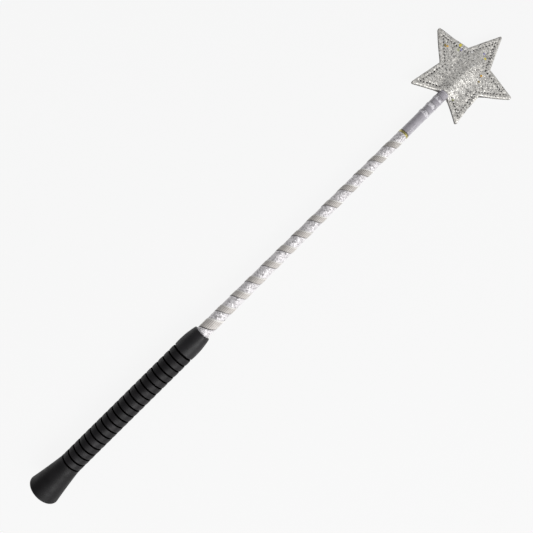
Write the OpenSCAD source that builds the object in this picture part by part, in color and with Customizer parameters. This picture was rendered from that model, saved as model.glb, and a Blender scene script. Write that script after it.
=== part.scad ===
// Star-tipped wand: a straight rod with a rubber grip, a ribbon-wound shaft and a sewn star.
// The wand lies along +X from the centre of its butt face, and the star's front faces +Z.

/* [Whole wand] */
// Length from the butt face to the tip of the star
overall_length = 600; // [560:1:640]
// Diameter of the rod inside the wand
rod_diameter = 6.8; // [6:0.1:7]

/* [Grip] */
// Largest diameter of the flared butt cap
butt_diameter = 31.9; // [28:0.1:36]
// Length of the butt cap, up to the first groove
butt_length = 38.2; // [34:0.1:42]
// Radius of the rounded rim of the butt cap
butt_rim_round = 2.5; // [1:0.1:4]
// Distance from the butt face to the end of the flare
flare_length = 35.2; // [30:0.1:36]
// Radius of the hollow curve of the flare
flare_curve_radius = 760; // [300:10:900]
// Outer diameter of the ribbed grip
grip_diameter = 21.8; // [20:0.1:23]
// Number of ribs
rib_count = 20; // [16:1:22]
// Average distance from one groove to the next
rib_pitch = 7.255; // [6.5:0.005:7.5]
// How much longer each rib is than the one before it
rib_growth = 0.025; // [0:0.005:0.05]
// Width of a groove
groove_width = 1.5; // [0.8:0.1:1.8]
// Depth of a groove
groove_depth = 1.3; // [0.5:0.1:1.5]
// Length of the barrel-shaped collar
collar_length = 25.2; // [22:0.1:28]

/* [Shaft] */
// Shaft diameter where it leaves the collar
shaft_start_diameter = 13; // [12.4:0.1:13.6]
// Shaft diameter where it meets the gold ring
shaft_end_diameter = 9.9; // [9.9:0.1:10.6]
// Distance from the star's centre back to the end of the shaft wrap
wrap_end_setback = 80.2; // [76:0.1:84]
// Thickness of the silver film
foil_thickness = 0.4; // [0.2:0.05:0.6]
// Distance between turns of the ribbon
ribbon_pitch = 19.85; // [16:0.05:24]
// Width of the ribbon along the wand
ribbon_width = 7.9; // [5:0.1:10]
// Extra width of the ribbon's first turn, next to the grip
ribbon_start_extra = 5; // [0:0.1:6]
// How much further the ribbon's first turn climbs than the others
ribbon_first_climb = 2.2; // [0:0.1:4]
// Thickness of the ribbon
ribbon_thickness = 0.3; // [0.2:0.05:0.6]

/* [Star sleeve] */
// Outer diameter of the smooth sleeve
sleeve_diameter = 10.1; // [9.8:0.1:10.6]
// Width of the gold ring, which stands a little way off the sleeve's lower end
binding_width = 2.2; // [1.4:0.1:3]
// Distance between the raised rings of the sleeve
ring_pitch = 9; // [7:0.1:10]
// Height of the raised rings
ring_height = 0.45; // [0.3:0.05:0.45]

/* [Star] */
// Distance from the star's centre to its points
star_reach = 49; // [44:0.5:54]
// Waist of the star as a share of its sharp points' radius
star_waist = 0.487; // [0.46:0.001:0.52]
// Rounding of the star's points
point_round = 1.3; // [0.6:0.1:2]
// Thickness of each leatherette panel
panel_thickness = 1.2; // [0.8:0.1:1.4]
// Thickness of the stiffener between the panels
stiffener_thickness = 1.4; // [1:0.1:1.6]
// Distance of the seam from the star's edge
seam_inset = 4.2; // [3:0.1:5]
// Length of one stitch and the space after it
stitch_pitch = 3; // [2.5:0.1:4]

/* [Hidden] */

$fn = 64;
big_arc_sides = 720;
gap = 0.05;
reach_past = 1;

// Rod and handle
rod_radius = rod_diameter / 2;
rod_seat_start = 10;
handle_radius = 8.7;
cap_floor = 4;
plug_end = 28;
butt_radius = butt_diameter / 2;
grip_radius = grip_diameter / 2;
grip_core_radius = grip_radius - groove_depth;
rib_corner = 0.45;
rib_crown_radius = 24;
ribs_end = butt_length + rib_count * rib_pitch;
groove_half = groove_width / 2;

// Groove number i, counted from 0 at the butt cap
function groove_x(i) = butt_length + i * rib_pitch - rib_growth * i * (rib_count - i) / 2;

// Flare of the butt cap: an arc from the rim to the plain part by the first groove, as [radius, distance]
flare_from = [butt_radius, butt_rim_round];
flare_to = [grip_radius, flare_length];
flare_chord = flare_to - flare_from;
flare_out = [flare_chord[1], -flare_chord[0]] / norm(flare_chord);
flare_rise = sqrt(pow(flare_curve_radius, 2) - pow(norm(flare_chord) / 2, 2));
flare_centre = (flare_from + flare_to) / 2 + flare_rise * flare_out;

// Collar
collar_start = ribs_end + 0.6;
collar_end = collar_start + collar_length;
collar_crest_radius = grip_radius + 0.05;
collar_crest = collar_start + 6.1;
collar_arc_radius = 83;
collar_lip_round = 1;
collar_lip_start = collar_end - collar_lip_round;
collar_lip_drop = pow(collar_lip_start - collar_crest, 2) / (2 * collar_arc_radius);
collar_lip_radius = collar_crest_radius - collar_lip_drop;
collar_chamfer = 0.6;
tube_end = collar_end - 6;
mouth_radius = shaft_start_diameter / 2 + 0.1;

// Star and the places measured from it
star_centre = overall_length - star_reach;
wrap_end = star_centre - wrap_end_setback;
sleeve_start = wrap_end + binding_width + 0.8;
point_half_angle = atan(star_waist * sin(36) / (1 - star_waist * cos(36)));
sharp_reach = star_reach + point_round * (1 / sin(point_half_angle) - 1);
edge_distance = sharp_reach * sin(point_half_angle);
notch_x = star_centre - sharp_reach * star_waist;
sleeve_end = notch_x - 0.7;
tail_start = sleeve_end - 37;

// Shaft film: it tapers evenly from the collar to the gold ring
foil_start = tube_end + gap;
function foil_radius(x) = shaft_start_diameter / 2
    + (shaft_end_diameter - shaft_start_diameter) / 2 * (x - collar_end) / (wrap_end - collar_end);

// Sleeve and the thread bindings under it
sleeve_radius = sleeve_diameter / 2;
sleeve_wall = 0.5;
sleeve_bore = sleeve_radius - sleeve_wall - gap;
ring_arc_radius = 5.6;
ring_arc_centre = sleeve_radius + ring_height - ring_arc_radius;
ring_x = [for (i = [0:2]) sleeve_end - 8.6 - (2 - i) * ring_pitch];
thread_radius = 0.22;
thread_pitch = 0.42;
thread_turns = 5;
tail_radius = sleeve_bore - gap;

// Rod's end inside the star
cap_centre = star_centre + 13;
cap_radius = 3.9;
cap_skirt = 8;
rod_end = cap_centre - 2;

// Panels of the star
panel_bottom = stiffener_thickness / 2 + gap;
panel_top = panel_bottom + panel_thickness;
tent_inner = cap_radius + gap;
tent_outer = tent_inner + panel_thickness;
tent_half_width = 12;
tent_end_width = 15;
tent_start = notch_x + 0.4;
tent_wall = 1;

// Half width of a tent's flat top, where its slope up from [half_width, height] just clears a round top
function tent_flat(top, half_width, height) =
    top * tan((90 - atan2(height, half_width) - acos(top / norm([half_width, height]))) / 2);

// Ribbon: a band swept round the film, tucked in at the collar and at the gold ring
ribbon_step = 15;
ribbon_first_x = collar_end + 6;
ribbon_low_limit = collar_end + 0.2;
ribbon_high_limit = wrap_end - 0.1;
ribbon_from_angle = -200;
ribbon_to_angle = 90
    + 360 * (ribbon_high_limit - 0.2 - ribbon_first_x - ribbon_first_climb) / ribbon_pitch;
ribbon_rings = floor((ribbon_to_angle - ribbon_from_angle) / ribbon_step);
ribbon_first_high = ribbon_first_x + ribbon_width + ribbon_start_extra;
function ribbon_angle(i) = ribbon_from_angle + i * ribbon_step;
function ribbon_path(a) = ribbon_first_x + ribbon_pitch * (a - 90) / 360
    + ribbon_first_climb * min(1, max(0, (a - 90) / 360));
function ribbon_low(a) = max(ribbon_low_limit, ribbon_path(a));
function ribbon_rising_edge(a) = ribbon_low_limit + 0.2
    + (ribbon_first_high - ribbon_low_limit - 0.2) * (a - ribbon_from_angle) / (90 - ribbon_from_angle);
function ribbon_regular_edge(a) = ribbon_path(a) + ribbon_width
    + ribbon_start_extra * max(0, 1 - (a - 90) / 360);
function ribbon_high(a) = min(ribbon_high_limit, a < 90 ? ribbon_rising_edge(a) : ribbon_regular_edge(a));
function ribbon_inner(x) = foil_radius(x) / cos(ribbon_step / 2) + gap;
function ribbon_point(x, r, a) = [x, r * cos(a), r * sin(a)];
function ribbon_section(a) = [
    ribbon_point(ribbon_low(a), ribbon_inner(ribbon_low(a)), a),
    ribbon_point(ribbon_high(a), ribbon_inner(ribbon_high(a)), a),
    ribbon_point(ribbon_high(a), ribbon_inner(ribbon_high(a)) + ribbon_thickness, a),
    ribbon_point(ribbon_low(a), ribbon_inner(ribbon_low(a)) + ribbon_thickness, a)
];
ribbon_points = [for (i = [0:ribbon_rings]) each ribbon_section(ribbon_angle(i))];
ribbon_faces = [
    [3, 2, 1, 0],
    for (i = [0:ribbon_rings - 1], k = [0:3])
        [4 * i + k, 4 * i + (k + 1) % 4, 4 * (i + 1) + (k + 1) % 4, 4 * (i + 1) + k],
    [for (k = [0:3]) 4 * ribbon_rings + k]
];

// Revolves a flat profile, drawn as [radius, distance along], about the wand's axis
module lathe() {
    rotate([0, 90, 0]) rotate_extrude() children();
}

// Rectangle of a profile between two radii and two distances along the wand
module band(inner, outer, from, to) {
    translate([inner, from]) square([outer - inner, to - from]);
}

// Profile of a band whose two outer edges are rounded
module rounded_band(inner, outer, from, to, corner) {
    band(inner, outer - corner, from, to);
    band(inner, outer, from + corner, to - corner);
    translate([outer - corner, from + corner]) circle(corner);
    translate([outer - corner, to - corner]) circle(corner);
}

// Profile of one rib, with rounded edges and a slightly crowned top
module rib_profile(from, to) {
    intersection() {
        rounded_band(grip_core_radius - 0.2, grip_radius, from, to, rib_corner);
        translate([grip_radius - rib_crown_radius, (from + to) / 2]) circle(rib_crown_radius, $fn = 360);
    }
}

// Outline of the star, made smaller all round by an inset
module star_outline(inset) {
    share = (edge_distance - inset) / edge_distance;
    centre_reach = sharp_reach * share - point_round / sin(point_half_angle);
    waist_radius = sharp_reach * share * star_waist;
    side = 90 - point_half_angle;
    translate([star_centre, 0]) {
        polygon([
            for (k = [0:4]) each [
                centre_reach * [cos(72 * k), sin(72 * k)]
                    + point_round * [cos(72 * k - side), sin(72 * k - side)],
                centre_reach * [cos(72 * k), sin(72 * k)]
                    + point_round * [cos(72 * k + side), sin(72 * k + side)],
                waist_radius * [cos(72 * k + 36), sin(72 * k + 36)]
            ]
        ]);
        for (k = [0:4]) rotate(72 * k) translate([centre_reach, 0]) circle(point_round);
    }
}

// Solid under a tent: a sloping roof along the rod, closed by a cone round the rod's end
module tent(from, top, height, base) {
    flat = tent_flat(top, tent_half_width, height);
    end_flat = tent_flat(top, tent_end_width, height);
    translate([from, 0, 0]) rotate([90, 0, 90]) linear_extrude(cap_centre - from)
        polygon([
            [-tent_half_width, base], [tent_half_width, base], [tent_half_width, height],
            [flat, top], [-flat, top], [-tent_half_width, height]
        ]);
    translate([cap_centre, 0, base]) cylinder(r = tent_end_width, h = height - base);
    translate([cap_centre, 0, height]) cylinder(r1 = tent_end_width, r2 = end_flat, h = top - height);
}

// One leatherette panel: a flat star, a tent over the rod and a tail along it under the sleeve
module star_panel() {
    tail_length = tent_start + tent_wall / 2 - tail_start;
    difference() {
        union() {
            translate([0, 0, panel_bottom]) linear_extrude(panel_thickness) star_outline(0);
            tent(tent_start, tent_outer, panel_top, (panel_bottom + panel_top) / 2);
            intersection() {
                translate([tail_start, 0, 0]) rotate([0, 90, 0]) cylinder(r = tail_radius, h = tail_length);
                translate([tail_start - reach_past, -tent_half_width, gap]) cube(tail_length + 2 * reach_past);
            }
        }
        tent(tent_start + tent_wall, tent_inner, panel_bottom, -reach_past);
        translate([tail_start - reach_past, 0, 0]) rotate([0, 90, 0])
            cylinder(r = rod_radius + gap, h = tail_length + tent_wall + 2 * reach_past);
    }
}

// Stitches along one edge of the seam, left out where the rod passes between the panels
module edge_stitches(from, to) {
    run = to - from;
    count = round(norm(run) / stitch_pitch);
    for (i = [0:count - 1]) {
        spot = from + run * (i + 0.5) / count;
        over_rod = spot[0] < star_centre && abs(spot[1]) < tent_half_width;
        if (!over_rod)
            translate([spot[0], spot[1], panel_top + thread_radius + gap])
                rotate([0, 0, atan2(run[1], run[0])]) rotate([0, 90, 0])
                    cylinder(r = thread_radius, h = stitch_pitch * 0.7, center = true, $fn = 16);
    }
}

module seam_thread() {
    tip_reach = sharp_reach * (edge_distance - seam_inset) / edge_distance;
    waist_reach = tip_reach * star_waist;
    tips = [for (k = [0:4]) [star_centre, 0] + tip_reach * [cos(72 * k), sin(72 * k)]];
    waists = [for (k = [0:4]) [star_centre, 0] + waist_reach * [cos(72 * k + 36), sin(72 * k + 36)]];
    for (k = [0:4]) {
        edge_stitches(tips[k], waists[k]);
        edge_stitches(waists[k], tips[(k + 1) % 5]);
    }
}

// Coils of thread round the star's tails, under one raised ring of the sleeve
module whipping(x) {
    lathe() for (i = [0:thread_turns - 1])
        translate([tail_radius + gap + thread_radius, x + (i - (thread_turns - 1) / 2) * thread_pitch])
            circle(thread_radius, $fn = 24);
}

module butt_cap() {
    color("dimgray") lathe() difference() {
        union() {
            band(0, butt_radius - butt_rim_round, 0, butt_rim_round);
            translate([butt_radius - butt_rim_round, butt_rim_round]) circle(butt_rim_round);
            difference() {
                band(0, butt_radius, butt_rim_round, flare_length + reach_past);
                translate(flare_centre) circle(flare_curve_radius, $fn = big_arc_sides);
            }
            band(0, grip_radius, flare_length - reach_past, butt_length - groove_half);
        }
        band(-reach_past, handle_radius + gap, cap_floor, butt_length);
        band(-butt_radius, 0, -reach_past, butt_length);
    }
}

module butt_plug() {
    color("gainsboro") lathe() difference() {
        band(0, handle_radius, cap_floor + gap, plug_end - gap);
        band(-reach_past, rod_radius + gap, rod_seat_start, plug_end);
    }
}

module handle_tube() {
    color("gainsboro") lathe() band(rod_radius + gap, handle_radius, plug_end, tube_end);
}

module ribbed_grip() {
    color("slategray") lathe() {
        band(handle_radius + gap, grip_core_radius, butt_length - groove_half + gap, collar_start - gap);
        for (i = [0:rib_count - 1]) rib_profile(groove_x(i) + groove_half, groove_x(i + 1) - groove_half);
    }
}

module grip_collar() {
    color("dimgray") lathe() difference() {
        union() {
            intersection() {
                translate([collar_crest_radius - collar_arc_radius, collar_crest])
                    circle(collar_arc_radius, $fn = big_arc_sides);
                polygon([
                    [0, collar_start], [collar_crest_radius - 2 * collar_chamfer, collar_start],
                    [collar_crest_radius, collar_start + collar_chamfer * 1.5],
                    [collar_crest_radius, collar_lip_start], [0, collar_lip_start]
                ]);
            }
            band(0, collar_lip_radius - collar_lip_round, collar_lip_start - reach_past, collar_end);
            translate([collar_lip_radius - collar_lip_round, collar_lip_start]) circle(collar_lip_round);
        }
        band(-reach_past, handle_radius + gap, collar_start - reach_past, tube_end + 2 * gap);
        band(-reach_past, mouth_radius, tube_end, collar_end + reach_past);
    }
}

module core_rod() {
    color("khaki") translate([rod_seat_start + gap, 0, 0]) rotate([0, 90, 0])
        cylinder(r = rod_radius, h = rod_end - rod_seat_start - gap);
}

module shaft_padding() {
    inside = foil_thickness + gap;
    color("burlywood") lathe() polygon([
        [rod_radius + gap, foil_start], [foil_radius(foil_start) - inside, foil_start],
        [foil_radius(wrap_end) - inside, wrap_end], [tail_radius, wrap_end],
        [tail_radius, tail_start - gap], [rod_radius + gap, tail_start - gap]
    ]);
}

module foil_wrap() {
    color("silver") lathe() polygon([
        [foil_radius(foil_start) - foil_thickness, foil_start], [foil_radius(foil_start), foil_start],
        [foil_radius(wrap_end), wrap_end], [foil_radius(wrap_end) - foil_thickness, wrap_end]
    ]);
}

module spiral_ribbon() {
    color("rosybrown") polyhedron(ribbon_points, ribbon_faces, convexity = 10);
}

module end_binding() {
    color("gold") lathe()
        rounded_band(sleeve_bore, sleeve_radius + 0.15, wrap_end + gap, wrap_end + gap + binding_width, 0.3);
}

module tip_sleeve() {
    lip = 0.75;
    color("thistle") lathe() difference() {
        union() {
            band(sleeve_bore, sleeve_radius, sleeve_start, sleeve_end);
            for (x = ring_x) translate([ring_arc_centre, x]) circle(ring_arc_radius, $fn = 120);
            translate([sleeve_radius, sleeve_end - lip]) circle(lip);
        }
        band(-ring_arc_radius * 2, sleeve_bore, sleeve_start - reach_past, sleeve_end + reach_past);
        for (x = ring_x) translate([ring_arc_centre, x]) circle(ring_arc_radius - sleeve_wall, $fn = 120);
    }
}

module whipping_lower() {
    color("white") whipping(ring_x[0]);
}

module whipping_middle() {
    color("white") whipping(ring_x[1]);
}

module whipping_upper() {
    color("white") whipping(ring_x[2]);
}

module rod_tip_cap() {
    color("darkslategray") difference() {
        union() {
            translate([cap_centre - cap_skirt, 0, 0]) rotate([0, 90, 0])
                cylinder(r = cap_radius, h = cap_skirt);
            translate([cap_centre, 0, 0]) sphere(cap_radius);
        }
        translate([cap_centre - cap_skirt - reach_past, 0, 0]) rotate([0, 90, 0])
            cylinder(r = rod_radius + gap, h = rod_end + gap - cap_centre + cap_skirt + reach_past);
    }
}

module star_stiffener() {
    slot_half = tent_inner + gap;
    color("lightgray") translate([0, 0, -stiffener_thickness / 2]) linear_extrude(stiffener_thickness)
        difference() {
            star_outline(1);
            translate([notch_x - reach_past, -slot_half])
                square([cap_centre - notch_x + reach_past, 2 * slot_half]);
            translate([cap_centre, 0]) circle(slot_half);
        }
}

module star_front() {
    color("silver") star_panel();
}

module star_back() {
    color("darkgray") mirror([0, 0, 1]) star_panel();
}

module seam_thread_front() {
    color("black") seam_thread();
}

module seam_thread_back() {
    color("black") mirror([0, 0, 1]) seam_thread();
}

butt_cap();
butt_plug();
handle_tube();
ribbed_grip();
grip_collar();
core_rod();
shaft_padding();
foil_wrap();
spiral_ribbon();
end_binding();
tip_sleeve();
whipping_lower();
whipping_middle();
whipping_upper();
rod_tip_cap();
star_stiffener();
star_front();
star_back();
seam_thread_front();
seam_thread_back();
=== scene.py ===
import math

import bpy
import numpy as np
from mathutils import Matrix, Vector


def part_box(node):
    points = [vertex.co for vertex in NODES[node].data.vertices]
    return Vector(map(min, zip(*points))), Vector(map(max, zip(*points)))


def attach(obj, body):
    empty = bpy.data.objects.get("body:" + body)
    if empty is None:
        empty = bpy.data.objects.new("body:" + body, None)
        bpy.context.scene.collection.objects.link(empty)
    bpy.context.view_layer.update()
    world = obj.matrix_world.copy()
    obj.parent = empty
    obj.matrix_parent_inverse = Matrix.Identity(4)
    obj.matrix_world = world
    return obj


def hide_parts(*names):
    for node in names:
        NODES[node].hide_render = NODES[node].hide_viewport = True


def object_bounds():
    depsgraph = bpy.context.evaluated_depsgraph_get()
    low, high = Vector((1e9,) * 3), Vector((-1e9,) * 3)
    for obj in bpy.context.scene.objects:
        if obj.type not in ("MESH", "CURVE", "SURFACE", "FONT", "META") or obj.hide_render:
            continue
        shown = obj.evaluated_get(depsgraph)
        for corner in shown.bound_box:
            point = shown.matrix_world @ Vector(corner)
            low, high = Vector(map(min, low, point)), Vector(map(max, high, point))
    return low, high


# A star-tipped wand, lying along +X with the star's front up. Lengths are in metres.
MM = 0.001

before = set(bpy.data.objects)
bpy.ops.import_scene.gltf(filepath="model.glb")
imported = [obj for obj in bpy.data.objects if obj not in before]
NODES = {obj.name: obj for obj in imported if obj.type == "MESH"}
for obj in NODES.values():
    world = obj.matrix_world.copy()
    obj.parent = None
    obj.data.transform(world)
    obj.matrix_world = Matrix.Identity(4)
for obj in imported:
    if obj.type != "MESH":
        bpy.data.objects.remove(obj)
CAD_LOW, CAD_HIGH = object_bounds()

WHIPPINGS = ("whipping_lower", "whipping_middle", "whipping_upper")

# Star, as in the CAD: a rounded five-pointed outline round its centre
STAR_REACH = 49 * MM           # from the centre to a point
STAR_WAIST = 0.487             # reach of the waists, as a share of the sharp points' reach
POINT_ROUND = 1.3 * MM         # radius of the points' rounding
SEAM_INSET = 4.2 * MM          # from the edge to the seam
STITCH_PITCH = 3 * MM
STAR_X = CAD_HIGH.x - STAR_REACH
HALF_STEP = math.radians(36)   # from a point to the waist beside it
POINT_HALF = math.atan(STAR_WAIST * math.sin(HALF_STEP) / (1 - STAR_WAIST * math.cos(HALF_STEP)))
SHARP_REACH = STAR_REACH + POINT_ROUND * (1 / math.sin(POINT_HALF) - 1)
EDGE_DISTANCE = SHARP_REACH * math.sin(POINT_HALF)
SEAM_SHARE = 1 - SEAM_INSET / EDGE_DISTANCE
CAP_X = STAR_X + 13 * MM       # centre of the rod's tip cap
TENT_RADIUS = 5.1 * MM         # outside of the panel where it lies on the rod
TENT_SPREAD_LOW = 9 * MM       # how far from the rod the sheet comes down, at the star's lower edge
TENT_SPREAD_HIGH = 17 * MM     # and at the rod's end
TAIL_TO = -19 * MM             # from the star's centre to where its tail along the rod begins
TAIL_HALF = 9 * MM             # half of that tail's width, as far as the sheet may rise
SEAM_GAP = 7.5 * MM            # how far to either side of the rod the seam stops
PANEL_TOP = 1.9 * MM           # top of the flat part
PANEL_THICK = 1.15 * MM
PANEL_PAD = 0.18 * MM          # how much the filling lifts the middle
POINTS_PER_EDGE, POINTS_PER_TIP = 56, 9
TIGHTEN_STEPS, SMOOTH_STEPS = 1500, 10
STEEP = 0.7                    # slope above which no loose flake holds
UNDER_RINGS = np.array([1.0, 0.985, 0.9, 0.7, 0.4, 0.1])
FAR_HOLE = np.array([[9.0, 9.0]])                          # metres away, so that a relief has no needle holes
COLOURED_FLAKES = (            # name, colour, and the spots on the front in mm from the star's centre
    ("white", (0.97, 0.95, 0.93), ((3, 32), (16, 3), (19, 9), (-1, 29.5), (8, 36.5), (9, 0))),
    ("gold", (0.9, 0.76, 0.12), ((16.8, 21.2), (23, -3.8))),
    ("orange", (0.92, 0.5, 0.06), ((7.6, 29), (9.3, -12.4))),
    ("bronze", (0.4, 0.3, 0.1), ((4.4, -14.6), (7.4, 31))),
    ("lime", (0.62, 0.66, 0.35), ((-25, -10.4), (12, 20))),
    ("violet", (0.5, 0.47, 0.72), ((14, 18), (26, 0))),
)
STAR_PULLS = ((72, -1.7, 0), (216, 2, 1.5), (252, 3.2, -0.8))   # direction in degrees, then mm along x and y

# Ribbon, as in the CAD
RIBBON_PITCH = 19.85 * MM
RIBBON_WIDTH = 7.9 * MM
RIBBON_EXTRA = 5 * MM          # how much wider its first turn starts
RIBBON_THICK = 0.3 * MM
RIBBON_LEAD = 6 * MM           # from the collar to its first crossing of the top
RIBBON_FIRST_CLIMB = 2.2 * MM  # how much further its first turn climbs
RIBBON_START = -290 / 360      # turns from its tucked-in start to that crossing

# Ribbon, as it is seen
RIBS_PER_TURN = 24
STEPS_PER_TURN = 288
TUCK = 0.2 * MM                # gap from the collar to the ribbon's start
FILM_SKIN = 0.02 * MM          # what the visible film stands above the CAD film
FIRST_TURN_PULL = -0.5         # mm that every turn after the first lies nearer to the grip
RIBBON_PULLS = ((2.8, -1.1), (9.7, 1.4), (11.9, -1.5))     # turn, and mm that it is pulled along the shaft
EDGE_CHANGE = (0.33, 0.42)     # metres from the butt where its painted edge shadow fades, its painted edge highlight grows and its painted rib-hollow shade darkens


# ---------------------------------------------------------------- mesh helpers

def node_points(name):
    """Corner points of a CAD node, as rows of x, y, z."""
    node = NODES[name]
    flat = np.empty(len(node.data.vertices) * 3)
    node.data.vertices.foreach_get("co", flat)
    world = np.array(node.matrix_world)
    return flat.reshape(-1, 3) @ world[:3, :3].T + world[:3, 3]


def radius_near(points, x, reach=0.5 * MM):
    """Largest distance from the wand's axis of the points near x."""
    near = points[np.abs(points[:, 0] - x) < reach]
    return float(np.hypot(near[:, 1], near[:, 2]).max())


def make_piece(name, points, faces, material, attributes=None):
    """A smooth mesh piece that rides on the wand, with its own point attributes."""
    mesh = bpy.data.meshes.new(name)
    mesh.from_pydata([tuple(p) for p in points], [], [tuple(f) for f in faces])
    mesh.validate()
    mesh.polygons.foreach_set("use_smooth", [True] * len(mesh.polygons))
    for key, values in (attributes or {}).items():
        layer = mesh.attributes.new(key, "FLOAT", "POINT")
        layer.data.foreach_set("value", np.asarray(values, dtype=np.float32))
    mesh.materials.append(material)
    mesh.update()
    piece = bpy.data.objects.new(name, mesh)
    bpy.context.scene.collection.objects.link(piece)
    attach(piece, "root")
    return piece


def grid_faces(rows, columns):
    """Quads between rows of points, each row closed on itself."""
    row, column = np.meshgrid(np.arange(rows - 1), np.arange(columns), indexing="ij")
    here, beside = row * columns + column, row * columns + (column + 1) % columns
    above = (row + 1) * columns
    return np.stack([here, beside, above + (column + 1) % columns, above + column], -1).reshape(-1, 4)


def tube_faces(rows, columns):
    """The same quads, and a face over each end."""
    faces = [tuple(f) for f in grid_faces(rows, columns)]
    return faces + [tuple(range(columns - 1, -1, -1)), tuple(range((rows - 1) * columns, rows * columns))]


def wrapped_noise(shape, spans, seed):
    """Smooth random field of unit spread that wraps both ways; spans are feature sizes in samples."""
    rng = np.random.default_rng(seed)
    field = np.fft.fft2(rng.standard_normal(shape))
    down = np.fft.fftfreq(shape[0])[:, None] * spans[0]
    across = np.fft.fftfreq(shape[1])[None, :] * spans[1]
    field = np.fft.ifft2(field * np.exp(-4 * (down ** 2 + across ** 2))).real
    return field / field.std()


# ---------------------------------------------------------------- material helpers

class Shader:
    """A material with a Principled shader and short ways to add and join nodes."""

    def __init__(self, name, colour, roughness, metallic=0.0):
        self.material = bpy.data.materials.new(name)
        self.material.use_nodes = True
        self.tree = self.material.node_tree
        self.surface = self.tree.nodes["Principled BSDF"]
        self.surface.inputs["Base Color"].default_value = (*colour, 1)
        self.surface.inputs["Roughness"].default_value = roughness
        self.surface.inputs["Metallic"].default_value = metallic
        self.place = self.add("ShaderNodeTexCoord").outputs["Object"]

    def add(self, kind, **settings):
        """A new node with these settings."""
        node = self.tree.nodes.new(kind)
        for key, value in settings.items():
            setattr(node, key, value)
        return node

    def join(self, source, target):
        """A link from an output to an input."""
        self.tree.links.new(source, target)

    def value(self, name, amount):
        """Sets one of the surface's own numbers or colours."""
        self.surface.inputs[name].default_value = amount

    def noise(self, scale, detail, stretch=None):
        """Soft noise, 0 to 1; stretch makes it longer along an axis where it is below 1."""
        texture = self.add("ShaderNodeTexNoise")
        texture.inputs["Scale"].default_value = scale
        texture.inputs["Detail"].default_value = detail
        self.join(self.stretched(stretch), texture.inputs["Vector"])
        return texture.outputs["Fac"]

    def cells(self, scale, output="Color"):
        """Small cells: each one's random colour, or the distance from its middle."""
        texture = self.add("ShaderNodeTexVoronoi")
        texture.inputs["Scale"].default_value = scale
        self.join(self.place, texture.inputs["Vector"])
        return texture.outputs[output]

    def stretched(self, stretch):
        """The place on the wand, scaled along each axis."""
        if stretch is None:
            return self.place
        mapping = self.add("ShaderNodeMapping")
        mapping.inputs["Scale"].default_value = stretch
        self.join(self.place, mapping.inputs["Vector"])
        return mapping.outputs["Vector"]

    def radius(self):
        """Distance from the wand's axis."""
        length = self.add("ShaderNodeVectorMath", operation="LENGTH")
        self.join(self.stretched((0, 1, 1)), length.inputs[0])
        return length.outputs["Value"]

    def along(self):
        """Distance along the wand."""
        parts = self.add("ShaderNodeSeparateXYZ")
        self.join(self.place, parts.inputs[0])
        return parts.outputs["X"]

    def ramp(self, source, low, high, from_low=0.0, from_high=1.0):
        """Goes from low to high while the source goes from from_low to from_high, and stays there beyond."""
        node = self.add("ShaderNodeMapRange")
        node.inputs["From Min"].default_value = from_low
        node.inputs["From Max"].default_value = from_high
        node.inputs["To Min"].default_value = low
        node.inputs["To Max"].default_value = high
        self.join(source, node.inputs["Value"])
        return node.outputs["Result"]

    def math(self, operation, first, second):
        """A sum, product or other operation on two numbers or outputs."""
        node = self.add("ShaderNodeMath", operation=operation)
        for socket, value in zip(node.inputs, (first, second)):
            if isinstance(value, (int, float)):
                socket.default_value = value
            else:
                self.join(value, socket)
        return node.outputs[0]

    def blend(self, factor, first, second):
        """A colour that goes from first to second with the factor."""
        node = self.add("ShaderNodeMix", data_type="RGBA")
        for key, value in (("Factor", factor), ("A", first), ("B", second)):
            sockets = [s for s in node.inputs if s.name == key and s.enabled]
            socket = sockets[0] if key == "Factor" else [s for s in sockets if s.type == "RGBA"][0]
            if isinstance(value, (int, float)):
                socket.default_value = value
            elif isinstance(value, tuple):
                socket.default_value = (*value, 1)
            else:
                self.join(value, socket)
        return [s for s in node.outputs if s.type == "RGBA"][0]

    def attribute(self, name):
        """One of the piece's own point attributes."""
        return self.add("ShaderNodeAttribute", attribute_name=name).outputs["Fac"]

    def bump(self, height, distance, strength, normal=None):
        """The normal that a height gives, on top of an earlier normal."""
        node = self.add("ShaderNodeBump")
        node.inputs["Strength"].default_value = strength
        node.inputs["Distance"].default_value = distance
        self.join(height, node.inputs["Height"])
        if normal is not None:
            self.join(normal, node.inputs["Normal"])
        return node.outputs["Normal"]

    def tilted(self, spread, *colours):
        """The surface normal, tilted at random from cell to cell."""
        normal = self.add("ShaderNodeNewGeometry").outputs["Normal"]
        for colour, amount in zip(colours, spread):
            centred = self.add("ShaderNodeVectorMath", operation="SUBTRACT")
            self.join(colour, centred.inputs[0])
            centred.inputs[1].default_value = (0.5, 0.5, 0.5)
            scaled = self.add("ShaderNodeVectorMath", operation="SCALE")
            self.join(centred.outputs[0], scaled.inputs[0])
            scaled.inputs["Scale"].default_value = amount
            total = self.add("ShaderNodeVectorMath", operation="ADD")
            self.join(normal, total.inputs[0])
            self.join(scaled.outputs[0], total.inputs[1])
            normal = total.outputs[0]
        unit = self.add("ShaderNodeVectorMath", operation="NORMALIZE")
        self.join(normal, unit.inputs[0])
        return unit.outputs[0]

    def use(self, socket, source):
        """Feeds one of the surface's inputs."""
        self.join(source, self.surface.inputs[socket])

    def clouds(self, scale):
        """Soft patches, 0 to 1."""
        return self.ramp(self.noise(scale, 3), 0, 1, 0.35, 0.65)

    def roughen(self, scale, detail, low, high):
        """Roughness that wanders between low and high."""
        self.use("Roughness", self.ramp(self.noise(scale, detail), low, high, 0.3, 0.7))


# ---------------------------------------------------------------- materials

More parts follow.
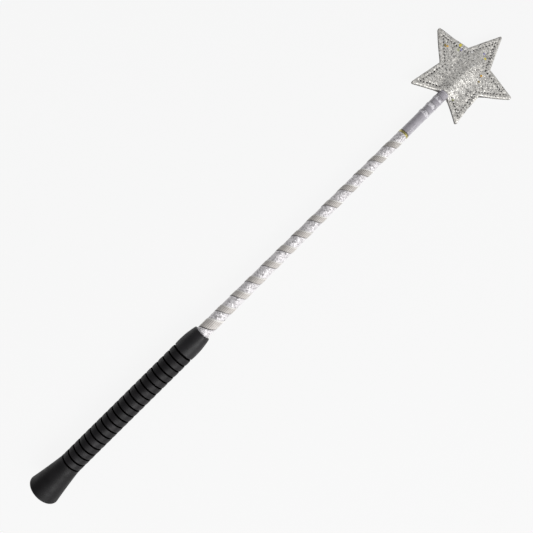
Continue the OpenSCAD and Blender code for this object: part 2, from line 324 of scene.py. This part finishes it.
def rubber_material(name, colour, roughness, shine=0.24, groove=None):
    """Black moulded rubber: fine grain, uneven sheen and a little dust; in deep grooves the colour is painted
    near black as shade and the specular level is turned off.
    """
    rubber = Shader(name, colour, roughness)
    rubber.value("Specular IOR Level", shine)
    dust = rubber.ramp(rubber.noise(90, 4), 0, 1, 0.45, 0.75)
    dark = tuple(c * 0.82 for c in colour)
    light = tuple(c * 1.4 + 0.0015 for c in colour)
    base = rubber.blend(dust, dark, light)
    if groove:
        # painted shade: below the rib tops the colour goes near black, as the shade in the grooves, and the
        # specular level goes to nothing
        top = rubber.ramp(rubber.radius(), 0, 1, groove[0], groove[1])
        base = rubber.blend(top, (0.0012, 0.001, 0.001), base)
        rubber.use("Specular IOR Level", rubber.math("MULTIPLY", top, shine))
    rubber.use("Base Color", base)
    rubber.roughen(160, 3, roughness - 0.08, roughness + 0.1)
    grain = rubber.bump(rubber.noise(2600, 2), 0.00004, 0.5)
    rubber.use("Normal", rubber.bump(rubber.noise(240, 3), 0.00012, 0.35, grain))
    return rubber.material


def film_material():
    """Crinkled silver glitter film: small facets that each catch the light their own way."""
    film = Shader("silver_film", (0.86, 0.84, 0.85), 0.4, 0.22)
    tint = film.ramp(film.cells(900, "Distance"), 0.0, 1.0, 0.15, 0.8)
    base = film.blend(tint, (0.97, 0.94, 0.955), (0.68, 0.655, 0.665))
    speck = film.ramp(film.cells(760), 0, 0.5, 0.64, 0.7)
    film.use("Base Color", film.blend(speck, base, (0.32, 0.3, 0.31)))
    film.roughen(700, 2, 0.3, 0.55)
    film.use("Normal", film.tilted((0.5, 0.5), film.cells(760), film.cells(1500)))
    return film.material


def ribbon_material():
    """Grey-beige grosgrain: cross ribs with painted shade in their hollows, a painted shadow line along the
    grip-side edge and a painted highlight line along the tip-side edge; near the tip darker painted hollow
    shade, less edge shadow and more edge highlight.
    """
    ribbon = Shader("ribbon_weave", (0.47, 0.44, 0.41), 0.55)
    ribbon.value("Sheen Weight", 0.5)
    ribbon.value("Sheen Roughness", 0.4)
    across = ribbon.attribute("across")
    rib = ribbon.attribute("rib")
    cloud = ribbon.clouds(260)
    base = ribbon.blend(cloud, (0.63, 0.59, 0.55), (0.76, 0.725, 0.685))
    near_tip = ribbon.ramp(ribbon.along(), 0, 1, *EDGE_CHANGE)
    # painted shade: the hollows between the cross ribs are coloured darker, and darker still near the tip
    painted_hollow_shade = ribbon.blend(near_tip, (0.34, 0.31, 0.295), (0.2, 0.18, 0.165))
    base = ribbon.blend(ribbon.ramp(rib, 0.9, 0.0, 0.1, 0.75), base, painted_hollow_shade)
    # painted shadow: a dark line along the grip-side edge, where the raised ribbon casts shade on itself and
    # the film
    dark = ribbon.math("MULTIPLY", ribbon.ramp(across, 1, 0, 0.07, 0.13), ribbon.ramp(near_tip, 1, 0.75))
    base = ribbon.blend(dark, base, (0.08, 0.072, 0.072))
    # painted highlight: a pale line along the tip-side edge, which faces the light
    pale = ribbon.math("MULTIPLY", ribbon.ramp(across, 0, 1, 0.82, 0.88), ribbon.ramp(near_tip, 0.6, 1))
    base = ribbon.blend(pale, base, (0.97, 0.955, 0.92))
    ribbon.use("Base Color", base)
    ribbon.roughen(900, 2, 0.42, 0.62)
    ribbon.use("Normal", ribbon.bump(ribbon.noise(2800, 2), 0.00006, 0.5))
    return ribbon.material


def near_rings(sleeve):
    """1 over the whippings that raise the sleeve's rings, 0 between them."""
    ends = [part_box(name) for name in WHIPPINGS]
    rings = [(low.x + high.x) / 2 for low, high in ends]
    apart = [sleeve.math("ABSOLUTE", sleeve.math("SUBTRACT", sleeve.along(), ring), 0) for ring in rings]
    nearest = sleeve.math("MINIMUM", sleeve.math("MINIMUM", apart[0], apart[1]), apart[2])
    return sleeve.ramp(nearest, 1, 0, 1.2 * MM, 2.6 * MM)


def sleeve_material():
    """Lilac-grey shrink sleeve: glossy plastic, faint wrinkles, and at its rings a crumple bump with pale
    patches painted as highlight.
    """
    sleeve = Shader("sleeve_plastic", (0.45, 0.43, 0.46), 0.3)
    sleeve.value("Coat Weight", 1.0)
    sleeve.value("Coat Roughness", 0.08)
    base = sleeve.blend(sleeve.clouds(220), (0.37, 0.35, 0.385), (0.46, 0.44, 0.475))
    at_ring = near_rings(sleeve)
    # painted highlight: pale patches over the rings, where their raised crowns catch the light
    ring_highlight_patch = sleeve.ramp(sleeve.noise(330, 2), 0, 0.9, 0.46, 0.56)
    base = sleeve.blend(sleeve.math("MULTIPLY", at_ring, ring_highlight_patch), base, (0.85, 0.83, 0.86))
    sleeve.use("Base Color", base)
    sleeve.roughen(500, 2, 0.26, 0.42)
    wrinkles = sleeve.bump(sleeve.noise(420, 3, (0.35, 1, 1)), 0.00025, 0.5)
    crumple = sleeve.math("MULTIPLY", at_ring, sleeve.noise(480, 2))
    sleeve.use("Normal", sleeve.bump(crumple, 0.0012, 0.9, wrinkles))
    return sleeve.material


def gold_material():
    """Thin gold ring with a brushed, slightly worn surface."""
    gold = Shader("gold_ring", (0.6, 0.54, 0.22), 0.28, 0.8)
    worn = gold.ramp(gold.noise(900, 3), 0, 1, 0.4, 0.7)
    gold.use("Base Color", gold.blend(worn, (0.58, 0.52, 0.2), (0.34, 0.29, 0.12)))
    gold.roughen(1500, 2, 0.2, 0.4)
    gold.use("Normal", gold.bump(gold.noise(1600, 2, (0.2, 1, 1)), 0.00006, 0.5))
    return gold.material


def glitter_material(name):
    """Silver glitter leatherette: packed flakes that each lean their own way, needle holes painted near black
    as shade, plain cut edge.
    """
    glitter = Shader(name, (0.8, 0.78, 0.74), 0.36, 0.3)
    hole = glitter.attribute("hole")
    cut = glitter.attribute("cut")
    cloud = glitter.clouds(140)
    base = glitter.blend(cloud, (0.9, 0.87, 0.815), (0.98, 0.955, 0.9))
    gaps = glitter.ramp(glitter.cells(900, "Distance"), 0, 0.6, 0.32, 0.8)
    base = glitter.blend(gaps, base, (0.36, 0.345, 0.32))
    dot = glitter.ramp(glitter.cells(560, "Distance"), 1, 0, 0.3, 0.5)
    speck = glitter.math("MULTIPLY", dot, glitter.ramp(glitter.cells(560), 0, 0.85, 0.64, 0.7))
    base = glitter.blend(speck, base, (0.16, 0.15, 0.145))
    base = glitter.blend(glitter.ramp(cut, 0, 0.95), base, (0.13, 0.125, 0.12))
    # painted shade: the needle holes go near black, as the shade inside them
    base = glitter.blend(glitter.ramp(hole, 0, 1, 0.2, 0.7), base, (0.025, 0.024, 0.024))
    glitter.use("Base Color", base)
    plain = glitter.math("MAXIMUM", hole, cut)
    glitter.use("Metallic", glitter.ramp(plain, 0.3, 0.0))
    glitter.roughen(1300, 2, 0.26, 0.46)
    glitter.use("Normal", glitter.tilted((0.5, 0.5), glitter.cells(800), glitter.cells(1700)))
    return glitter.material


def flake_material(name, colour, metallic=0.9, roughness=0.22):
    """One colour of loose glitter flake, a little scratched."""
    flake = Shader(name, colour, roughness, metallic)
    worn = flake.ramp(flake.noise(1400, 2), 0, 1, 0.35, 0.7)
    flake.use("Base Color", flake.blend(worn, colour, tuple(c * 0.75 for c in colour)))
    flake.roughen(2200, 2, roughness, roughness + 0.15)
    return flake.material


def thread_material(name, colour):
    """Twisted thread with a fine ply."""
    thread = Shader(name, colour, 0.5)
    thread.value("Sheen Weight", 0.3)
    ply = thread.add("ShaderNodeTexWave", wave_type="BANDS", bands_direction="DIAGONAL")
    ply.inputs["Scale"].default_value = 900
    thread.join(thread.place, ply.inputs["Vector"])
    dark = tuple(c * 0.6 for c in colour)
    thread.use("Base Color", thread.blend(ply.outputs["Fac"], dark, colour))
    thread.use("Normal", thread.bump(ply.outputs["Fac"], 0.00008, 0.6))
    return thread.material


def plain_material(name, colour, roughness, grain=600):
    """Unseen inner pieces: moulded plastic, foam or glass fibre with a fine grain."""
    plain = Shader(name, colour, roughness)
    cloud = plain.clouds(grain / 4)
    plain.use("Base Color", plain.blend(cloud, tuple(c * 0.85 for c in colour), colour))
    plain.use("Normal", plain.bump(plain.noise(grain, 3), 0.0001, 0.5))
    return plain.material


def floor_material():
    """Pale, softly backlit table."""
    floor = Shader("floor_pale", (0.045, 0.045, 0.045), 0.9)
    floor.value("Emission Color", (1, 1, 1, 1))
    floor.value("Emission Strength", 0.895)
    floor.value("Specular IOR Level", 0.0)
    floor.use("Roughness", floor.ramp(floor.noise(30, 2), 0.85, 0.95))
    return floor.material


# ---------------------------------------------------------------- shaft

def film_line():
    """The film's ends and radii, as its CAD node has them."""
    low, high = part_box("foil_wrap")
    points = node_points("foil_wrap")
    return low.x, high.x, radius_near(points, low.x), radius_near(points, high.x)


FILM_FROM, FILM_TO, FILM_RADIUS_FROM, FILM_RADIUS_TO = film_line()
COLLAR_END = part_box("grip_collar")[1].x
RIBBON_FIRST = COLLAR_END + RIBBON_LEAD


def film_radius(x):
    """The CAD film's radius at x."""
    share = (x - FILM_FROM) / (FILM_TO - FILM_FROM)
    return FILM_RADIUS_FROM + (FILM_RADIUS_TO - FILM_RADIUS_FROM) * share


def build_film():
    """The silver film as a crinkled tube."""
    size = rows, columns = 520, 84
    x = np.linspace(FILM_FROM, FILM_TO, rows)
    angle = np.linspace(0, 2 * math.pi, columns, endpoint=False)
    creases = 1 - np.abs(wrapped_noise(size, (7, 7), 11))
    fine = 1 - np.abs(wrapped_noise(size, (3.2, 3.2), 12))
    swell = wrapped_noise(size, (30, 20), 13)
    lift = (0.07 * creases.clip(-1, 1) + 0.04 * fine.clip(-1, 1) + 0.05 * swell.clip(-1.5, 1.5)) * MM
    ends = np.minimum(1, np.minimum(np.arange(rows), rows - 1 - np.arange(rows)) / 8)[:, None]
    radius = film_radius(x)[:, None] + FILM_SKIN + lift * ends
    along = np.repeat(x[:, None], columns, 1)
    points = np.stack([along, radius * np.cos(angle), radius * np.sin(angle)], -1).reshape(-1, 3)
    film = make_piece("film_crinkled", points, grid_faces(rows, columns), film_material())
    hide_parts("foil_wrap")


def ribbon_path(turn):
    """Where the ribbon's grip-side edge is, after so many turns from its first crossing of the top."""
    return RIBBON_FIRST + RIBBON_PITCH * turn + RIBBON_FIRST_CLIMB * np.clip(turn, 0, 1)


def ribbon_wander(turn):
    """How far the hand-wound ribbon strays from its even spiral: wobbles, and turns pulled off place."""
    knots = np.arange(-2, 16, 0.17)
    wobble = np.interp(turn, knots, np.random.default_rng(5).standard_normal(len(knots)) * 0.12)
    pulled = FIRST_TURN_PULL * np.clip(turn, 0, 1)
    for place, shift in RIBBON_PULLS:
        pulled += shift * np.exp(-((turn - place) / 0.8) ** 2)
    return (wobble + pulled) * MM


def ribbon_edges(turn):
    """Both edges of the even ribbon, tucked in at the collar and at the gold ring."""
    low_limit, high_limit = COLLAR_END + TUCK, FILM_TO - 0.1 * MM
    regular = ribbon_path(turn) + RIBBON_WIDTH + RIBBON_EXTRA * np.maximum(0, 1 - turn)
    first_high = RIBBON_FIRST + RIBBON_WIDTH + RIBBON_EXTRA
    rising = low_limit + TUCK + (first_high - low_limit - TUCK) * (turn - RIBBON_START) / -RIBBON_START
    low = np.maximum(low_limit, ribbon_path(turn))
    high = np.minimum(high_limit, np.where(turn < 0, rising, regular))
    return low, high


def wound_edges(turn, last):
    """Both edges with their strays, which fade out at the tucked-in ends."""
    low, high = ribbon_edges(turn)
    inside = np.clip((turn + 0.3) * 4, 0, 1) * np.clip((last - turn - 0.3) * 4, 0, 1)
    return low + ribbon_wander(turn) * inside, high + ribbon_wander(turn + 0.05) * inside


def ribbon_section():
    """The ribbon's cross-section, over its top and back underneath: shares of its width and thickness."""
    top = np.array([0, 0.015, 0.04, 0.08, 0.14, 0.24, 0.36, 0.5, 0.64, 0.76, 0.86, 0.92, 0.96, 0.985, 1])
    height = 1 - np.abs(2 * top - 1) ** 14 * 0.75
    under = np.array([0.97, 0.5, 0.03])
    return np.concatenate([top, under]), np.concatenate([height, np.zeros(len(under))])


def ribbon_radius(x, turn, share, height):
    """How far the ribbon's surface is from the wand's axis, and its cross ribs, 0 to 1."""
    upper = (height > 0.1)[None, :]
    ribs = 0.5 + 0.5 * np.cos(2 * math.pi * RIBS_PER_TURN * turn)[:, None] * np.ones((1, len(share)))
    body = np.clip(np.minimum(share, 1 - share) / 0.06, 0, 1)[None, :]
    weave = 0.09 * MM * (ribs - 0.5) * body * upper
    sag = 0.05 * MM * wrapped_noise(x.shape, (50, 8), 21)
    curl = 0.06 * MM * np.exp(-share / 0.05)[None, :] * upper
    return film_radius(x) + FILM_SKIN + RIBBON_THICK * height[None, :] + weave + sag + curl, ribs


def build_ribbon():
    """The ribbon as a swept grosgrain band with cross ribs, soft edges and a lifted grip-side edge."""
    last = (FILM_TO - 0.3 * MM - RIBBON_FIRST - RIBBON_FIRST_CLIMB) / RIBBON_PITCH
    turn = np.arange(RIBBON_START, last, 1 / STEPS_PER_TURN)
    low, high = wound_edges(turn, last)
    share, height = ribbon_section()
    x = low[:, None] + (high - low)[:, None] * share[None, :]
    radius, ribs = ribbon_radius(x, turn, share, height)
    angle = (turn * 2 * math.pi + math.pi / 2)[:, None]
    points = np.stack([x, radius * np.cos(angle), radius * np.sin(angle)], -1).reshape(-1, 3)
    marks = {"across": np.repeat(share[None, :], len(turn), 0).ravel(), "rib": ribs.ravel()}
    ribbon = make_piece("ribbon_wound", points, tube_faces(*x.shape), ribbon_material(), marks)
    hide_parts("spiral_ribbon")


# ---------------------------------------------------------------- star

def star_share(x, y):
    """How far out a point is: 0 at the star's centre and 1 on its sharp outline."""
    fifth = 2 * math.pi / 5
    angle = np.arctan2(y, x)
    folded = np.abs((angle + fifth / 2) % fifth - fifth / 2)
    return np.hypot(x, y) * np.cos(folded - (math.pi / 2 - POINT_HALF)) / EDGE_DISTANCE


def facing(side):
    """The word for a side of the star: +1 is its front and -1 its back."""
    return "front" if side > 0 else "back"


def dent_seed(side):
    """Seed of a side's dents, the same for the panel and for what lies on it."""
    return 31 if side > 0 else 41


def ray(angle):
    """Unit step from the star's centre."""
    return np.array([math.cos(angle), math.sin(angle)])


def star_corner(k, share=1.0):
    """Tip k of the sharp outline, and the waist after it, from the star's centre."""
    tip = math.radians(72 * k)
    reach = SHARP_REACH * share
    return ray(tip) * reach, ray(tip + HALF_STEP) * reach * STAR_WAIST


def star_outline():
    """Points round the rounded outline, from the star's centre, in order."""
    side = math.pi / 2 - POINT_HALF
    centre_reach = SHARP_REACH - POINT_ROUND / math.sin(POINT_HALF)
    points = []
    for k in range(5):
        tip, following = math.radians(72 * k), math.radians(72 * (k + 1))
        middle, next_middle = ray(tip) * centre_reach, ray(following) * centre_reach
        arc = [middle + POINT_ROUND * ray(tip + a) for a in np.linspace(-side, side, POINTS_PER_TIP)]
        waist = star_corner(k)[1]
        next_start = next_middle + POINT_ROUND * ray(following - side)
        out = [arc[-1] + (waist - arc[-1]) * i / POINTS_PER_EDGE for i in range(1, POINTS_PER_EDGE)]
        back = [waist + (next_start - waist) * i / POINTS_PER_EDGE for i in range(POINTS_PER_EDGE)]
        points += arc + out + back
    return np.array(points)


def seam_holes():
    """Needle holes along the seam, edge by edge, and the stitches between them; none lies over the rod."""
    holes, stitches = [], []
    for k in range(5):
        tip, waist = star_corner(k, SEAM_SHARE)
        following = star_corner(k + 1, SEAM_SHARE)[0]
        for start, end in ((tip, waist), (waist, following)):
            count = round(float(np.linalg.norm(end - start)) / STITCH_PITCH)
            run = [start + (end - start) * i / count for i in range(count + 1)]
            for a, b in zip(run, run[1:]):
                middle = (a + b) / 2
                if middle[0] < 0 and abs(middle[1]) < SEAM_GAP:
                    continue
                stitches.append((a, b))
                holes += [a, b]
    return np.array(holes), stitches


def beside(height):
    """Sum of the four samples beside each sample, without the field's border."""
    return height[2:, 1:-1] + height[:-2, 1:-1] + height[1:-1, 2:] + height[1:-1, :-2]


def tent_field():
    """Height of the panel over the star: a sheet pulled tight over the rod's end and held at the seam."""
    step = 0.7 * MM
    xs = np.arange(-46 * MM, 54 * MM, step)
    ys = np.arange(-50 * MM, 50.1 * MM, step)
    x, y = np.meshgrid(xs, ys, indexing="ij")
    share = star_share(x, y)
    over_rod = (x < TAIL_TO) & (np.abs(y) < TAIL_HALF)
    cap = CAP_X - STAR_X
    past = np.maximum(0, x - cap)
    spread = np.interp(x, [-8 * MM, cap - 4 * MM], [TENT_SPREAD_LOW, TENT_SPREAD_HIGH])
    free = ((share < SEAM_SHARE) | over_rod) & (np.hypot(past, y) < spread)
    rod = np.sqrt(np.maximum(0, TENT_RADIUS ** 2 - y ** 2 - past ** 2))
    height = np.where(free, np.maximum(PANEL_TOP, rod), PANEL_TOP)
    for _ in range(TIGHTEN_STEPS):
        around = height.copy()
        around[1:-1, 1:-1] = beside(height) / 4
        height = np.where(free, np.maximum(around, rod), PANEL_TOP)
    for _ in range(SMOOTH_STEPS):
        height[1:-1, 1:-1] = (beside(height) + 4 * height[1:-1, 1:-1]) / 8
    return xs, ys, height


def sample(field, x, y):
    """Bilinear reading of a height field."""
    xs, ys, height = field
    step = xs[1] - xs[0]
    i = np.clip((x - xs[0]) / step, 0, len(xs) - 1.001)
    j = np.clip((y - ys[0]) / step, 0, len(ys) - 1.001)
    a, b = i.astype(int), j.astype(int)
    u, v = i - a, j - b
    return (height[a, b] * (1 - u) * (1 - v) + height[a + 1, b] * u * (1 - v)
            + height[a, b + 1] * (1 - u) * v + height[a + 1, b + 1] * u * v)


def settled(points):
    """The sewn star is not quite regular: two arms and one waist are pulled a little out of place."""
    x, y = points[:, 0] - STAR_X, points[:, 1]
    share = np.clip(star_share(x, y), 0, 1)
    moved = np.array(points)
    for place, along, across in STAR_PULLS:
        apart = (np.degrees(np.arctan2(y, x)) - place + 180) % 360 - 180
        weight = share ** 1.5 * np.cos(np.radians(np.clip(apart, -36, 36) * 2.5)) ** 2
        moved[:, 0] += along * MM * weight
        moved[:, 1] += across * MM * weight
    return moved


def star_rings():
    """How far out each ring of the panel's mesh is."""
    inner = np.linspace(0.03, 0.74, 36, endpoint=False)
    outer = np.linspace(0.74, 0.985, 30)
    return np.concatenate([inner, outer, [0.993, 0.998, 1.0]])


def panel_relief(x, y, share, field, holes, seed):
    """Height of the finished panel, with padding, seam, needle holes, dents and rim; and its hole marks."""
    height = sample(field, x, y)
    rod_free = 1 - np.exp(-(y / (7 * MM)) ** 4) * (x < -15 * MM)
    pad = PANEL_PAD * np.clip(1 - (share / SEAM_SHARE) ** 5, 0, 1) * rod_free
    away = (share - SEAM_SHARE) * EDGE_DISTANCE
    groove = -0.11 * MM * np.exp(-(away / (0.55 * MM)) ** 2) * rod_free
    lip = 0.04 * MM * np.exp(-((away - 2.2 * MM) / (1.1 * MM)) ** 2)
    near = np.full(x.shape, 1.0)
    for hole in holes:
        near = np.minimum(near, np.hypot(x - hole[0], y - hole[1]))
    dimple = np.exp(-(near / (0.8 * MM)) ** 2)
    pucker = 0.1 * MM * np.exp(-(near / (1.5 * MM)) ** 2)
    xs, ys, _ = field
    size = (len(xs), len(ys))
    dents = sample((xs, ys, wrapped_noise(size, (16, 16), seed)), x, y) * 0.13 * MM
    ripples = sample((xs, ys, wrapped_noise(size, (6, 6), seed + 1)), x, y) * 0.035 * MM
    rim = -0.6 * MM * np.clip((share - 0.92) / 0.08, 0, 1) ** 2
    return height + pad + groove + lip - 0.45 * MM * dimple - pucker + dents + ripples + rim, dimple


def panel_points(side, field, holes):
    """A panel's rows of points over its top, down its cut edge and underneath, then both centres.

    Also the hole marks of its top, and how many rows and columns there are.
    """
    outline, rings = star_outline(), star_rings()
    top_xy = rings[:, None, None] * outline[None, :, :]
    share = np.repeat(rings[:, None], len(outline), 1)
    height, hole = panel_relief(top_xy[..., 0], top_xy[..., 1], share, field, holes, dent_seed(side))
    wall = height[-1] - 0.55 * PANEL_THICK
    under_xy = UNDER_RINGS[:, None, None] * outline[None, :, :]
    under = sample(field, under_xy[..., 0], under_xy[..., 1]) - PANEL_THICK
    xy = np.concatenate([top_xy, outline[None], under_xy])
    heights = np.concatenate([height, wall[None], under])
    points = np.stack([xy[..., 0] + STAR_X, xy[..., 1], side * heights], -1).reshape(-1, 3)
    centre = sample(field, np.zeros(1), np.zeros(1))[0] + PANEL_PAD
    centres = np.array([[STAR_X, 0, side * centre], [STAR_X, 0, side * (centre - PANEL_THICK)]])
    return np.concatenate([points, centres]), hole, heights.shape


def panel_faces(side, rows, columns):
    """Quads between a panel's rows and a fan round each centre, all facing outwards."""
    top_centre, under_centre = rows * columns, rows * columns + 1
    last = (rows - 1) * columns
    faces = [tuple(f) for f in grid_faces(rows, columns)]
    faces += [(top_centre, (c + 1) % columns, c) for c in range(columns)]
    faces += [(under_centre, last + c, last + (c + 1) % columns) for c in range(columns)]
    return [f[::-1] for f in faces] if side > 0 else faces


def panel_marks(count, hole):
    """A panel's point attributes: needle holes, and the cut edge, which also shows faintly beside it."""
    rings, columns = hole.shape
    holes, cut = np.zeros(count), np.zeros(count)
    holes[:hole.size] = hole.ravel()
    cut[(rings - 2) * columns:(rings - 1) * columns] = 0.4
    cut[(rings - 1) * columns:(rings + 2) * columns] = 1
    return {"hole": holes, "cut": cut}


def build_panel(side, field, holes):
    """One leatherette panel of the star."""
    name = "star_panel_" + facing(side)
    points, hole, size = panel_points(side, field, holes)
    piece = make_piece(name, settled(points), panel_faces(side, *size), glitter_material(name + "_glitter"),
                       panel_marks(len(points), hole))
    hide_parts("star_" + facing(side))


def tube_along(path, radius):
    """Points and faces of a thin seven-sided tube with closed ends along a path."""
    sides = 7
    ahead = np.gradient(path, axis=0)
    ahead /= np.linalg.norm(ahead, axis=1)[:, None]
    across = np.cross(ahead, [0, 0, 1.0])
    across /= np.linalg.norm(across, axis=1)[:, None]
    up = np.cross(across, ahead)
    angle = np.linspace(0, 2 * math.pi, sides, endpoint=False)
    ring = across[:, None, :] * np.cos(angle)[None, :, None] + up[:, None, :] * np.sin(angle)[None, :, None]
    points = (path[:, None, :] + radius[:, None, None] * ring).reshape(-1, 3)
    return points, tube_faces(len(path), sides)


def gather(parts):
    """Several small meshes as one."""
    points, faces, start = [], [], 0
    for more_points, more_faces in parts:
        points.append(more_points)
        faces += [tuple(int(i) + start for i in face) for face in more_faces]
        start += len(more_points)
    return np.concatenate(points), faces


def build_stitches(side, field, stitches):
    """The seam's thread: one short arched run from each needle hole to the next."""
    name = "stitches_" + facing(side)
    along = np.linspace(0.2, 0.8, 9)
    arch = (0.3 * np.sin(math.pi * along) ** 0.5 - 0.33) * MM
    radius = (0.17 + 0.08 * np.sin(math.pi * along) ** 0.6) * MM
    parts = []
    for a, b in stitches:
        xy = a[None, :] + (b - a)[None, :] * along[:, None]
        share = star_share(xy[:, 0], xy[:, 1])
        surface = panel_relief(xy[:, 0], xy[:, 1], share, field, FAR_HOLE, dent_seed(side))[0]
        path = np.stack([xy[:, 0] + STAR_X, xy[:, 1], side * (surface + arch + 0.1 * MM)], -1)
        parts.append(tube_along(path, radius))
    points, faces = gather(parts)
    thread = thread_material(name + "_thread", (0.74, 0.72, 0.69))
    piece = make_piece(name, settled(points), faces, thread)
    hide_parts("seam_thread_" + facing(side))


def flake(x, y, height, size, lean, turn, side):
    """One six-sided glitter flake lying on the panel."""
    angle = np.linspace(0, 2 * math.pi, 6, endpoint=False) + turn
    flat = np.stack([np.cos(angle) * size, np.sin(angle) * size, np.zeros(6)], -1)
    rise = flat[:, 0] * lean[0] + flat[:, 1] * lean[1]
    base = np.array([x + STAR_X, y, 0])
    level = np.zeros(6)
    upper = base + flat + np.stack([level, level, side * (height + 0.06 * MM + rise)], -1)
    lower = base + flat * 0.97 + np.stack([level, level, side * (height - 0.02 * MM + rise)], -1)
    faces = [tuple(range(6)), tuple(range(11, 5, -1))]
    faces += [(i, 6 + i, 6 + (i + 1) % 6, (i + 1) % 6) for i in range(6)]
    return np.concatenate([upper, lower]), faces


def slopes(field, x, y):
    """The panel's slope along x and y."""
    reach = 0.5 * MM
    along = (sample(field, x + reach, y) - sample(field, x - reach, y)) / (2 * reach)
    across = (sample(field, x, y + reach) - sample(field, x, y - reach)) / (2 * reach)
    return along, across


def build_flakes(colour, spots, side, field, material, seed, size):
    """Loose glitter flakes of one colour; spots and size are in millimetres, from the star's centre."""
    rng = np.random.default_rng(seed)
    parts = []
    for spot in spots:
        x, y = np.array([spot[0] * MM]), np.array([spot[1] * MM])
        along, across = slopes(field, x, y)
        if np.hypot(along, across)[0] > STEEP:
            continue
        top = panel_relief(x, y, star_share(x, y), field, FAR_HOLE, dent_seed(side))[0][0]
        lean = rng.normal(0, 0.16, 2) + np.array([along[0], across[0]])
        scale = size * (0.8 + 0.4 * rng.random()) * MM
        parts.append(flake(x[0], y[0], top + 0.05 * MM, scale, lean, rng.random() * math.pi, side))
    points, faces = gather(parts)
    name = "flakes_" + colour + "_" + facing(side)
    piece = make_piece(name, settled(points), faces, material)
    piece.data.polygons.foreach_set("use_smooth", [False] * len(piece.data.polygons))


def scattered_spots(count, seed):
    """Random spots over the star, clear of its very edge."""
    rng = np.random.default_rng(seed)
    spots = []
    while len(spots) < count:
        x, y = rng.uniform(-42, 49), rng.uniform(-47, 47)
        if star_share(np.array(x * MM), np.array(y * MM)) < 0.95:
            spots.append((x, y))
    return spots


def build_star():
    """Both panels, their stitches and the loose flakes, silver ones at random and a few coloured ones."""
    field = tent_field()
    holes, stitches = seam_holes()
    for side in (1, -1):
        build_panel(side, field, holes)
    for side in (1, -1):
        build_stitches(side, field, stitches)
    silver = flake_material("flake_silver", (0.9, 0.89, 0.87))
    for side in (1, -1):
        build_flakes("silver", scattered_spots(320, 60 + side), side, field, silver, 70 + side, 0.5)
    for number, (name, colour, spots) in enumerate(COLOURED_FLAKES):
        material = flake_material("flake_" + name, colour, 0.15, 0.3)
        turned = [(x * 0.9 - 2, -y * 0.8) for x, y in spots]
        build_flakes(name, spots, 1, field, material, 80 + number, 1.3)
        build_flakes(name, turned, -1, field, material, 90 + number, 1.3)


# ---------------------------------------------------------------- CAD pieces that stay

def paint(node, material):
    """Gives a CAD node a finished material in place of its packed one."""
    data = NODES[node].data
    data.materials.clear()
    data.materials.append(material)


def paint_cad_pieces():
    """Materials for the CAD nodes that keep their meshes."""
    paint("butt_cap", rubber_material("rubber_cap", (0.0065, 0.0058, 0.0066), 0.52))
    grip_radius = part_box("ribbed_grip")[1].z
    # radii over which the grooves' painted shade fades out towards the rib tops
    grooves = (grip_radius - 0.7 * MM, grip_radius - 0.2 * MM)
    paint("ribbed_grip", rubber_material("rubber_grip", (0.0072, 0.0062, 0.0074), 0.5, 0.27, grooves))
    paint("grip_collar", rubber_material("rubber_collar", (0.0078, 0.0069, 0.0082), 0.5, 0.42))
    paint("tip_sleeve", sleeve_material())
    paint("end_binding", gold_material())
    moulded = plain_material("moulded_plastic", (0.012, 0.012, 0.012), 0.5)
    paint("butt_plug", moulded)
    paint("handle_tube", moulded)
    paint("core_rod", plain_material("glass_fibre", (0.7, 0.67, 0.55), 0.35, 1500))
    paint("shaft_padding", plain_material("filler_foam", (0.22, 0.2, 0.19), 0.9, 1200))
    paint("rod_tip_cap", rubber_material("rubber_tip", (0.03, 0.03, 0.03), 0.6))
    paint("star_stiffener", plain_material("stiffener_foam", (0.16, 0.155, 0.15), 0.85, 1500))
    binding = thread_material("binding_thread", (0.8, 0.79, 0.76))
    for node in WHIPPINGS:
        paint(node, binding)


# ---------------------------------------------------------------- stage, light and camera

def build_floor():
    """A pale table that touches the butt's rim and the underside of the star's tent."""
    rim = Vector((2.5 * MM, 0, CAD_LOW.z))
    under_star = Vector((CAP_X, 0, -TENT_RADIUS - 0.5 * MM))
    slope = math.atan2(under_star.z - rim.z, under_star.x - rim.x)
    half = 15.0
    corners = [(-half, -half, 0), (half, -half, 0), (half, half, 0), (-half, half, 0)]
    mesh = bpy.data.meshes.new("floor")
    mesh.from_pydata(corners, [], [(0, 1, 2, 3)])
    mesh.materials.append(floor_material())
    floor = bpy.data.objects.new("floor", mesh)
    bpy.context.scene.collection.objects.link(floor)
    floor.location = rim
    floor.rotation_euler = (0, -slope, 0)


def area_light(name, place, target, size, power):
    """A rectangular softbox that faces its target."""
    data = bpy.data.lights.new(name, "AREA")
    data.shape = "RECTANGLE"
    data.size, data.size_y = size
    data.energy = power
    light = bpy.data.objects.new(name, data)
    bpy.context.scene.collection.objects.link(light)
    light.location = place
    aim = Vector(target) - Vector(place)
    light.rotation_euler = aim.to_track_quat("-Z", "Y").to_euler()


def light_scene():
    """A long softbox over the wand's -Y side, in a dim and even room."""
    middle = (0.3, 0, 0)
    area_light("key", (-0.1, -0.79, 0.8), middle, (2.4, 0.7), 20)
    world = bpy.data.worlds.new("room")
    world.use_nodes = True
    world.node_tree.nodes["Background"].inputs["Color"].default_value = (0.93, 0.94, 0.96, 1)
    world.node_tree.nodes["Background"].inputs["Strength"].default_value = 0.28
    bpy.context.scene.world = world
    bpy.context.scene.view_settings.view_transform = "Standard"


def place_camera():
    """Straight down over the wand's middle, rolled so that the wand points up and to the right."""
    data = bpy.data.cameras.new("camera")
    data.sensor_width = 36
    data.lens = 37.15
    data.clip_end = 20
    camera = bpy.data.objects.new("camera", data)
    bpy.context.scene.collection.objects.link(camera)
    camera.location = (0.295, 0.002, 0.512)
    camera.rotation_euler = (0, 0, math.radians(-44.7))
    bpy.context.scene.camera = camera


build_film()
build_ribbon()
build_star()
paint_cad_pieces()
build_floor()
light_scene()
place_camera()
